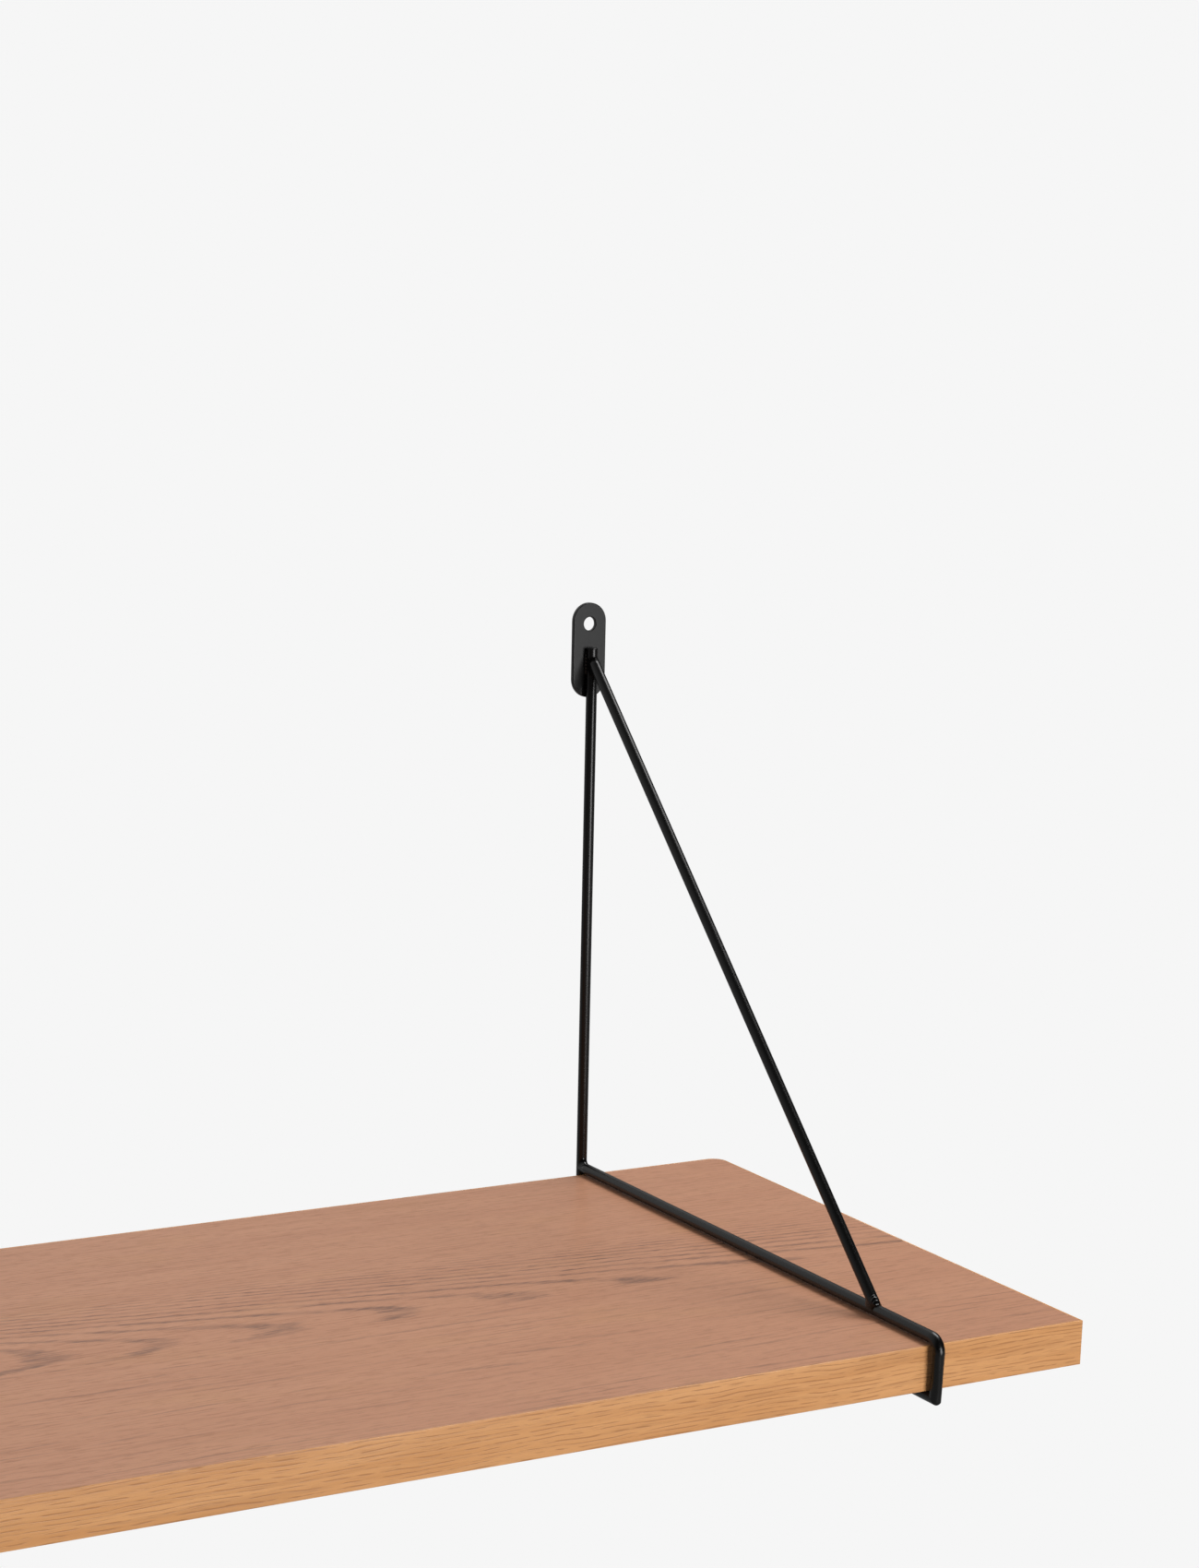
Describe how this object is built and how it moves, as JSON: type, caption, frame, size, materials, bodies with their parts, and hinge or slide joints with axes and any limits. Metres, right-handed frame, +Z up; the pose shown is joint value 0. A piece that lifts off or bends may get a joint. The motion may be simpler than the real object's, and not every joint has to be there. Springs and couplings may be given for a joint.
{
  "type": "wall shelf with wire brackets",
  "caption": "Laminated oak-look board held in two black welded-wire wall brackets, each a rear upright, a loop round the board and a slanting brace above it.",
  "frame": {"origin": "centre of the rectangle of the four wall screw holes, on the wall's face", "axes": "+X to the right along the wall and the board, +Y into the wall, +Z up"},
  "size_m": [0.8, 0.252, 0.276],
  "materials": {
    "particleboard": "matte",
    "oak_decor": "satin",
    "oak_edge": "satin",
    "bracket_wire": "satin powder coat",
    "bracket_plate": "satin powder coat",
    "bracket_weld": "glossy powder coat",
    "screw_steel": "zinc plated"
  },
  "bodies": {
    "root": {"shelf_core": "particleboard", "top_laminate": "oak_decor", "bottom_laminate": "oak_decor", "front_edge_band": "oak_edge", "wrap_edge_band": "oak_edge", "left_upright": "bracket_wire", "left_top_rail": "bracket_wire", "left_bottom_rail": "bracket_wire", "left_brace": "bracket_wire", "left_upper_wall_plate": "bracket_plate", "left_lower_wall_plate": "bracket_plate", "left_front_tab": "bracket_plate", "left_rear_tab": "bracket_plate", "left_weld_beads": "bracket_weld", "left_shelf_screws": "screw_steel", "right_upright": "bracket_wire", "right_top_rail": "bracket_wire", "right_bottom_rail": "bracket_wire", "right_brace": "bracket_wire", "right_upper_wall_plate": "bracket_plate", "right_lower_wall_plate": "bracket_plate", "right_front_tab": "bracket_plate", "right_rear_tab": "bracket_plate", "right_weld_beads": "bracket_weld", "right_shelf_screws": "screw_steel"}
  },
  "joints": []
}
